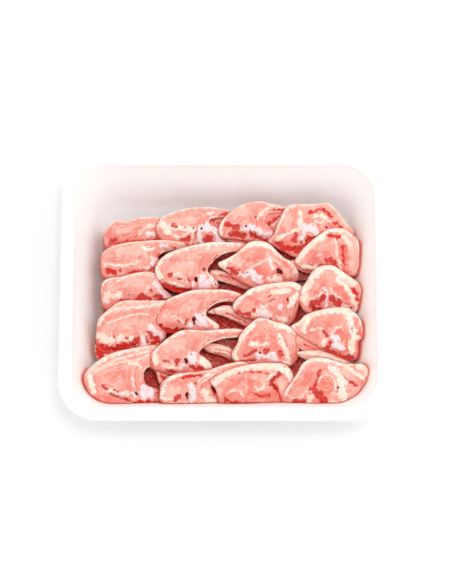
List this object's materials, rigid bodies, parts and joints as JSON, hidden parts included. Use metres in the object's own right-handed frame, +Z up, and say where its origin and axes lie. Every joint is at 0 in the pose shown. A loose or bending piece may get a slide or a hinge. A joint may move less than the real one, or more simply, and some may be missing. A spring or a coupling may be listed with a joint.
{
  "type": "tray of raw lamb chops",
  "caption": "White foam meat tray with rounded corners, packed with raw lamb chops shingled in rows over a flat layer.",
  "frame": {"origin": "middle of the tray's flat base, on the surface that it stands on", "axes": "+Z up, +X to the right of the tray seen from its front, +Y to its back"},
  "size_m": [0.36, 0.315, 0.062],
  "materials": {
    "foam": "satin white foam",
    "rib_chop": "moist pink meat with cream fat and sawn bone",
    "loin_chop": "moist pink meat with cream fat and sawn bone",
    "flank": "moist pink strip of flank",
    "under_meat": "moist dark red meat"
  },
  "bodies": {
    "root": {"chop_a1": "rib_chop", "chop_a2": "rib_chop", "chop_a3": "rib_chop", "chop_a4": "loin_chop", "chop_b1": "rib_chop", "chop_b2": "rib_chop", "chop_b3": "loin_chop", "chop_b4": "loin_chop", "chop_c1": "rib_chop", "chop_c2": "rib_chop", "chop_c3": "rib_chop", "chop_c4": "loin_chop", "chop_d1": "rib_chop", "chop_d2": "rib_chop", "chop_d3": "loin_chop", "chop_d4": "loin_chop", "chop_e1": "rib_chop", "chop_e2": "rib_chop", "chop_e3": "loin_chop", "chop_e4": "loin_chop", "flank_a2": "flank", "flank_a3": "flank", "flank_a4": "flank", "flank_b2": "flank", "flank_b3": "flank", "flank_c2": "flank", "flank_d1": "flank", "flank_d2": "flank", "flank_d3": "flank", "flank_e3": "flank", "tray": "foam", "under_chop_11": "under_meat", "under_chop_12": "under_meat", "under_chop_13": "under_meat", "under_chop_21": "under_meat", "under_chop_22": "under_meat", "under_chop_23": "under_meat", "under_chop_31": "under_meat", "under_chop_32": "under_meat", "under_chop_33": "under_meat"}
  },
  "joints": []
}
